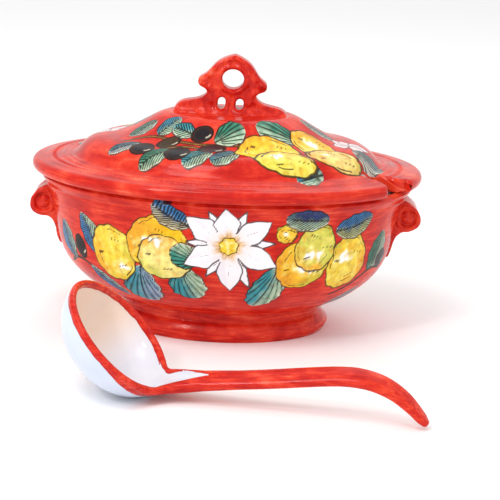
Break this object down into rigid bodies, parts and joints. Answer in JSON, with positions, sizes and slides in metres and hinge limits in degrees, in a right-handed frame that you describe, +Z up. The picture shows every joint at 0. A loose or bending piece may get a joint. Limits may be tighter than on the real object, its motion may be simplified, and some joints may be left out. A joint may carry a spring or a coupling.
{
  "type": "soup tureen",
  "caption": "Oval footed soup tureen with scroll handles, a notched domed lid with a pierced knob, and a serving ladle lying in front of it.",
  "frame": {"origin": "centre of the foot ring's resting face, on the table", "axes": "+Z up, +X along the oval's long axis towards the right handle and the ladle notch, -Y towards the painted front and the ladle"},
  "size_m": [0.343, 0.3861, 0.241],
  "materials": {
    "painted_glaze": "glossy hand-painted glaze: red ground with lemons, leaves, olives and a white flower",
    "red_glaze": "glossy brushed red glaze",
    "white_glaze": "glossy white glaze with a brushed red rim"
  },
  "bodies": {
    "tureen": {"bowl": "painted_glaze", "foot_ring": "red_glaze", "left_handle": "red_glaze", "right_handle": "red_glaze"},
    "lid": {"lid_shell": "painted_glaze", "lid_locating_rim": "white_glaze", "lid_knob": "red_glaze"},
    "ladle": {"ladle_bowl": "white_glaze", "ladle_handle": "red_glaze"}
  },
  "joints": [
    {"name": "lid_lift", "type": "slide", "parent": "tureen", "child": "lid", "axis": [0, 0, 1], "range_m": [0, 0.18]},
    {"name": "ladle_lift", "type": "slide", "parent": "tureen", "child": "ladle", "axis": [0, 0, 1], "range_m": [0, 0.25]}
  ]
}
